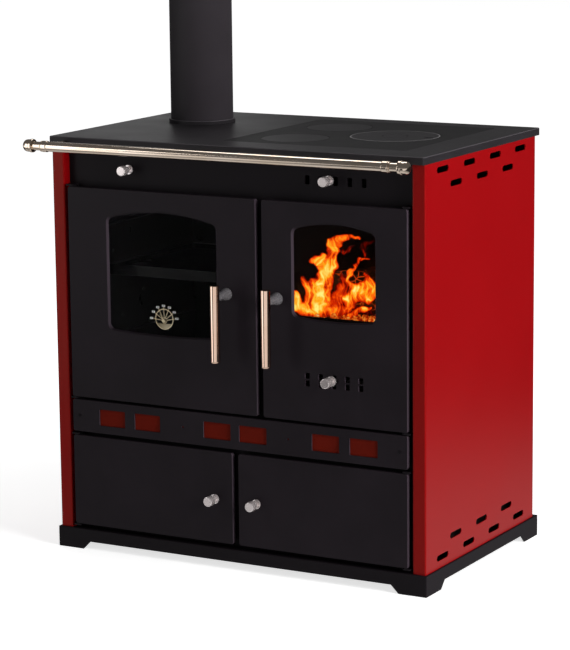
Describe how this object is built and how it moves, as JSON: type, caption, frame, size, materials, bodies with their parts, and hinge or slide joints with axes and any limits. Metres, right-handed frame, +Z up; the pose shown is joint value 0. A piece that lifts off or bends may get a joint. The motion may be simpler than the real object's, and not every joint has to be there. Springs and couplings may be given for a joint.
{
  "type": "wood cookstove",
  "caption": "Freestanding wood-burning cookstove with glazed oven and fire doors, cast top with lift-out lid, flue pipe, front rail, trim strip and two lower storage doors.",
  "frame": {"origin": "plan centre of the whole stove, rail included, on the floor", "axes": "+X to the right seen from the front, +Y to the back, +Z up; the doors face -Y"},
  "size_m": [0.854, 0.619, 1.188],
  "materials": {
    "black_cast_iron": "satin black cast iron",
    "black_enamel": "satin black heat-proof paint on steel",
    "black_frame": "matt black heat-proof paint on steel",
    "red_enamel": "satin red paint on sheet steel",
    "pipe_black": "matt black stove paint on steel pipe",
    "nickel": "polished warm nickel",
    "dark_steel": "dark rolled steel",
    "zinc_steel": "zinc plated steel",
    "oven_enamel": "dark oven enamel",
    "firebrick": "rough fired clay",
    "glass": "ceramic door glass",
    "gasket": "woven glass-fibre rope"
  },
  "bodies": {
    "stove": {"plinth": "black_frame", "side_panel_right": "red_enamel", "side_panel_left": "red_enamel", "back_panel": "black_frame", "back_screws": "zinc_steel", "front_frame": "black_frame", "hinge_brackets": "zinc_steel", "hinge_pins": "zinc_steel", "inner_casing": "dark_steel", "storage_divider": "dark_steel", "hearth_floor": "dark_steel", "oven_box": "oven_enamel", "oven_runners": "dark_steel", "baking_tray": "oven_enamel", "firebox_shell": "dark_steel", "brick_sides": "firebrick", "brick_back": "firebrick", "grate_bed": "black_cast_iron", "fire_grate": "black_cast_iron", "ash_pan": "dark_steel", "flue_box": "dark_steel", "cooktop_plate": "black_cast_iron", "hob_plate": "black_cast_iron", "flue_collar": "black_cast_iron", "flue_pipe": "pipe_black", "fascia_slide_guides": "dark_steel", "trim_strip": "black_enamel", "trim_backing": "red_enamel", "trim_screws": "zinc_steel", "towel_rail": "nickel", "rail_fittings": "nickel"},
    "hob_lid": {"hob_lid": "black_cast_iron"},
    "damper": {"damper_plate": "dark_steel", "damper_rod": "zinc_steel", "damper_knob": "nickel"},
    "fascia_air": {"fascia_air_slide": "dark_steel", "fascia_air_knob": "nickel"},
    "oven_door": {"oven_door_panel": "black_enamel", "oven_door_glass": "glass", "oven_door_liner": "dark_steel", "oven_door_gasket": "gasket", "thermometer_dial": "nickel"},
    "needle": {"thermometer_needle": "nickel"},
    "oven_latch": {"oven_handle_bar": "nickel", "oven_handle_neck": "nickel", "oven_latch_finger": "dark_steel"},
    "fire_door": {"fire_door_panel": "black_enamel", "fire_door_glass": "glass", "fire_door_liner": "dark_steel", "fire_door_gasket": "gasket"},
    "fire_latch": {"fire_handle_bar": "nickel", "fire_handle_neck": "nickel", "fire_latch_finger": "dark_steel"},
    "door_air": {"door_air_slide": "dark_steel", "door_air_knob": "nickel"},
    "lower_door_left": {"lower_door_left": "black_enamel", "lower_knob_left": "nickel"},
    "lower_door_right": {"lower_door_right": "black_enamel", "lower_knob_right": "nickel"}
  },
  "joints": [
    {"name": "oven_door_hinge", "type": "hinge", "parent": "stove", "child": "oven_door", "pos_m": [-0.375, -0.2115, 0.53425], "axis": [0, 0, -1], "range_deg": [0, 120]},
    {"name": "fire_door_hinge", "type": "hinge", "parent": "stove", "child": "fire_door", "pos_m": [0.375, -0.2115, 0.53425], "axis": [0, 0, 1], "range_deg": [0, 120]},
    {"name": "lower_left_hinge", "type": "hinge", "parent": "stove", "child": "lower_door_left", "pos_m": [-0.375, -0.2115, 0.14525], "axis": [0, 0, -1], "range_deg": [0, 120]},
    {"name": "lower_right_hinge", "type": "hinge", "parent": "stove", "child": "lower_door_right", "pos_m": [0.375, -0.2115, 0.14525], "axis": [0, 0, 1], "range_deg": [0, 120]},
    {"name": "oven_latch_turn", "type": "hinge", "parent": "oven_door", "child": "oven_latch", "pos_m": [-0.014, -0.2165, 0.5575], "axis": [0, 1, 0], "range_deg": [0, 75]},
    {"name": "fire_latch_turn", "type": "hinge", "parent": "fire_door", "child": "fire_latch", "pos_m": [0.0996, -0.2165, 0.5575], "axis": [0, -1, 0], "range_deg": [0, 75]},
    {"name": "needle_turn", "type": "hinge", "parent": "oven_door", "child": "needle", "pos_m": [-0.161, -0.212, 0.492], "axis": [0, -1, 0], "range_deg": [-125, 55]},
    {"name": "door_air_slide", "type": "slide", "parent": "fire_door", "child": "door_air", "axis": [1, 0, 0], "range_m": [0, 0.012]},
    {"name": "fascia_air_slide", "type": "slide", "parent": "stove", "child": "fascia_air", "axis": [1, 0, 0], "range_m": [0, 0.012]},
    {"name": "damper_pull", "type": "slide", "parent": "stove", "child": "damper", "axis": [0, -1, 0], "range_m": [0, 0.1]},
    {"name": "hob_lid_lift", "type": "slide", "parent": "stove", "child": "hob_lid", "axis": [0, 0, 1], "range_m": [0, 0.12]}
  ]
}
